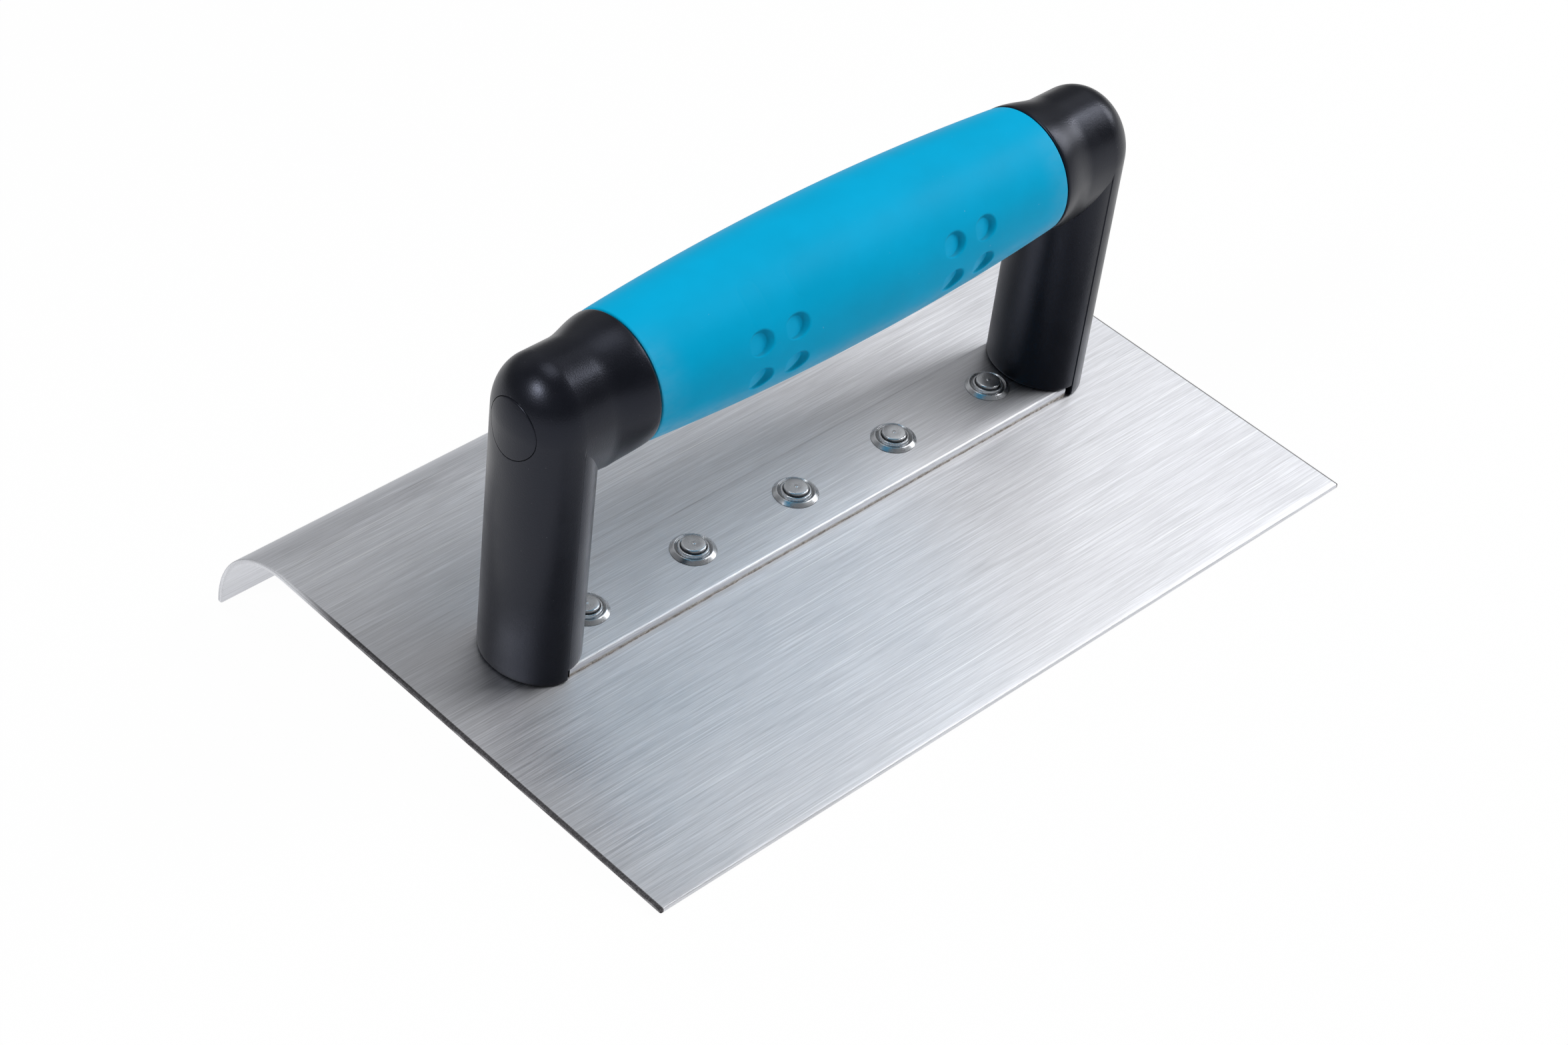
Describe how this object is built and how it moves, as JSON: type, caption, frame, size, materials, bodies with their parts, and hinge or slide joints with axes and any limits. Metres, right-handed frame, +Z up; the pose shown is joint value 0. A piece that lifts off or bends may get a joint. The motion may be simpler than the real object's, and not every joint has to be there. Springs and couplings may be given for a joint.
{
  "type": "hand edging trowel",
  "caption": "Hand edger for wet concrete: flat brushed steel blade with one long side rolled down into a quarter-round lip, under a padded bar handle on two black legs.",
  "frame": {"origin": "middle of the blade's flat underside, halfway along its length and halfway between its front edge and the start of the lip", "axes": "+X along the blade and the grip, +Y across the blade towards the rolled lip, +Z up from the underside to the grip"},
  "size_m": [0.19, 0.13, 0.0965],
  "materials": {
    "blade_steel": "fine lines brushed along the blade",
    "strip_steel": "fine lines brushed along the strip",
    "rivet_steel": "bright turned",
    "leg_plastic": "fine grained satin black",
    "plug_plastic": "matte black",
    "screw_steel": "zinc plated",
    "core_plastic": "plain moulded",
    "sleeve_rubber": "satin soft-touch"
  },
  "bodies": {
    "root": {"blade": "blade_steel", "spine_plate": "strip_steel", "rivet_1": "rivet_steel", "rivet_2": "rivet_steel", "rivet_3": "rivet_steel", "rivet_4": "rivet_steel", "rivet_5": "rivet_steel", "leg_left": "leg_plastic", "leg_right": "leg_plastic", "end_plug_left": "plug_plastic", "end_plug_right": "plug_plastic", "end_screw_left": "screw_steel", "end_screw_right": "screw_steel", "foot_screw_left": "screw_steel", "foot_screw_right": "screw_steel", "grip_core": "core_plastic", "grip_sleeve": "sleeve_rubber"}
  },
  "joints": []
}
